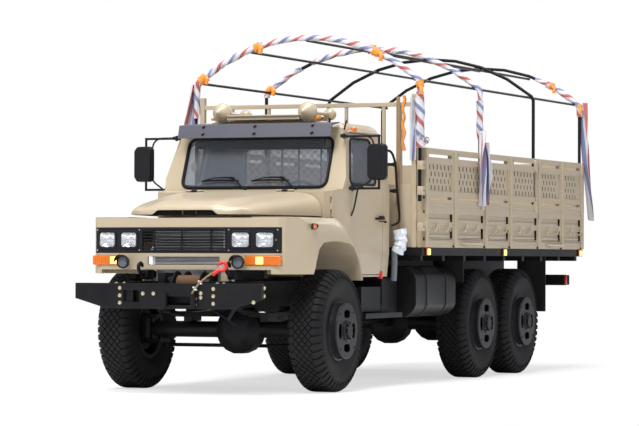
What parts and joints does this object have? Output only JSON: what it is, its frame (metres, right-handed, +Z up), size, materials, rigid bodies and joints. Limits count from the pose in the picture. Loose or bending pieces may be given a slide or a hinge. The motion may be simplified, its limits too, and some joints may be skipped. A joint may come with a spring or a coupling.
{
  "type": "military cargo truck",
  "caption": "Bonneted all-wheel-drive cargo truck with an open slatted steel bed, bare canopy hoops, winch bumper, opening doors, bonnet and tailgate.",
  "frame": {"origin": "on the ground, below the middle of the truck's length and width", "axes": "+Z up, -Y towards the front bumper, +X towards the vehicle's left side"},
  "size_m": [2.62, 8.4657, 3.456],
  "materials": {
    "sand_paint": "semi-gloss sand paint",
    "chassis_black": "satin black paint",
    "wheel_black": "satin black paint",
    "tyre_rubber": "matt rubber",
    "radiator_metal": "fine finned core",
    "black_plastic": "matt",
    "visor_grey": "satin dark grey",
    "lamp_glass": "clear lens over a bright reflector",
    "amber_lens": "ribbed lens",
    "red_lens": "ribbed lens",
    "window_glass": "clear",
    "seat_cover": "woven",
    "mudflap_rubber": "matt",
    "striped_cloth": "woven plastic strip, striped"
  },
  "bodies": {
    "chassis": {"frame": "chassis_black", "crossmembers": "chassis_black", "bumper": "chassis_black", "winch": "chassis_black", "engine": "chassis_black", "radiator": "radiator_metal", "nose_panel": "sand_paint", "grille": "black_plastic", "front_lamps": "lamp_glass", "amber_lamps": "amber_lens", "fenders": "sand_paint", "cab_shell": "sand_paint", "cab_glass": "window_glass", "dashboard": "black_plastic", "seats": "seat_cover", "visor": "visor_grey", "horns": "sand_paint", "front_axle": "chassis_black", "rear_axles": "chassis_black", "leaf_springs": "chassis_black", "driveline": "chassis_black", "fuel_tank": "chassis_black", "side_boxes": "chassis_black", "bed_floor": "sand_paint", "bed_rim": "sand_paint", "bed_bearers": "chassis_black", "headboard": "sand_paint", "side_boards": "sand_paint", "canopy_frame": "chassis_black", "canopy_rails": "chassis_black", "cloth_strips": "striped_cloth", "mudguards": "mudflap_rubber", "rear_bar": "chassis_black", "rear_lamps": "red_lens"},
    "bonnet": {"bonnet": "sand_paint"},
    "tailgate": {"tailgate": "sand_paint"},
    "door_left": {"door_left": "sand_paint", "door_glass_left": "window_glass", "mirror_left": "black_plastic"},
    "door_right": {"door_right": "sand_paint", "door_glass_right": "window_glass", "mirror_right": "black_plastic"},
    "knuckle_left": {"knuckle_left": "chassis_black"},
    "knuckle_right": {"knuckle_right": "chassis_black"},
    "tie_rod": {"tie_rod": "chassis_black"},
    "steering_wheel": {"steering_wheel": "black_plastic"},
    "wheel_front_left": {"tyre_front_left": "tyre_rubber", "wheel_front_left": "wheel_black"},
    "wheel_front_right": {"tyre_front_right": "tyre_rubber", "wheel_front_right": "wheel_black"},
    "wheel_middle_left": {"tyre_middle_left": "tyre_rubber", "wheel_middle_left": "wheel_black"},
    "wheel_middle_right": {"tyre_middle_right": "tyre_rubber", "wheel_middle_right": "wheel_black"},
    "wheel_rear_left": {"tyre_rear_left": "tyre_rubber", "wheel_rear_left": "wheel_black"},
    "wheel_rear_right": {"tyre_rear_right": "tyre_rubber", "wheel_rear_right": "wheel_black"}
  },
  "joints": [
    {"name": "steer_left", "type": "hinge", "parent": "chassis", "child": "knuckle_left", "pos_m": [0.8, -2.817, 0.568], "axis": [0, 0, 1], "range_deg": [-30, 30]},
    {"name": "steer_right", "type": "hinge", "parent": "chassis", "child": "knuckle_right", "pos_m": [-0.8, -2.817, 0.568], "axis": [0, 0, 1], "range_deg": [-30, 30]},
    {"name": "tie_rod_slide", "type": "slide", "parent": "chassis", "child": "tie_rod", "axis": [1, 0, 0], "range_m": [-0.1, 0.1]},
    {"name": "steering_wheel_turn", "type": "hinge", "parent": "chassis", "child": "steering_wheel", "pos_m": [0.38, -1.945, 1.806], "axis": [0, 0.766, 0.6428], "range_deg": [-480, 480]},
    {"name": "bonnet_lift", "type": "hinge", "parent": "chassis", "child": "bonnet", "pos_m": [0, -2.6245, 1.876], "axis": [-1, 0, 0], "range_deg": [0, 52]},
    {"name": "door_left_swing", "type": "hinge", "parent": "chassis", "child": "door_left", "pos_m": [0.902, -2.503, 1.6], "axis": [0, 0, -1], "range_deg": [0, 65]},
    {"name": "door_right_swing", "type": "hinge", "parent": "chassis", "child": "door_right", "pos_m": [-0.902, -2.503, 1.6], "axis": [0, 0, 1], "range_deg": [0, 65]},
    {"name": "tailgate_drop", "type": "hinge", "parent": "chassis", "child": "tailgate", "pos_m": [0, 4.13, 1.337], "axis": [-1, 0, 0], "range_deg": [0, 178]},
    {"name": "wheel_front_left_spin", "type": "hinge", "parent": "knuckle_left", "child": "wheel_front_left", "pos_m": [0.97, -2.817, 0.568], "axis": [1, 0, 0], "continuous": true},
    {"name": "wheel_front_right_spin", "type": "hinge", "parent": "knuckle_right", "child": "wheel_front_right", "pos_m": [-0.97, -2.817, 0.568], "axis": [1, 0, 0], "continuous": true},
    {"name": "wheel_middle_left_spin", "type": "hinge", "parent": "chassis", "child": "wheel_middle_left", "pos_m": [0.97, 1.008, 0.568], "axis": [1, 0, 0], "continuous": true},
    {"name": "wheel_middle_right_spin", "type": "hinge", "parent": "chassis", "child": "wheel_middle_right", "pos_m": [-0.97, 1.008, 0.568], "axis": [1, 0, 0], "continuous": true},
    {"name": "wheel_rear_left_spin", "type": "hinge", "parent": "chassis", "child": "wheel_rear_left", "pos_m": [0.97, 2.308, 0.568], "axis": [1, 0, 0], "continuous": true},
    {"name": "wheel_rear_right_spin", "type": "hinge", "parent": "chassis", "child": "wheel_rear_right", "pos_m": [-0.97, 2.308, 0.568], "axis": [1, 0, 0], "continuous": true}
  ],
  "couplings": [
    {"joint": "steer_right", "follows": "steer_left", "ratio": 1},
    {"joint": "tie_rod_slide", "follows": "steer_left", "m_per_rad": -0.19},
    {"joint": "steering_wheel_turn", "follows": "steer_left", "ratio": 16}
  ]
}
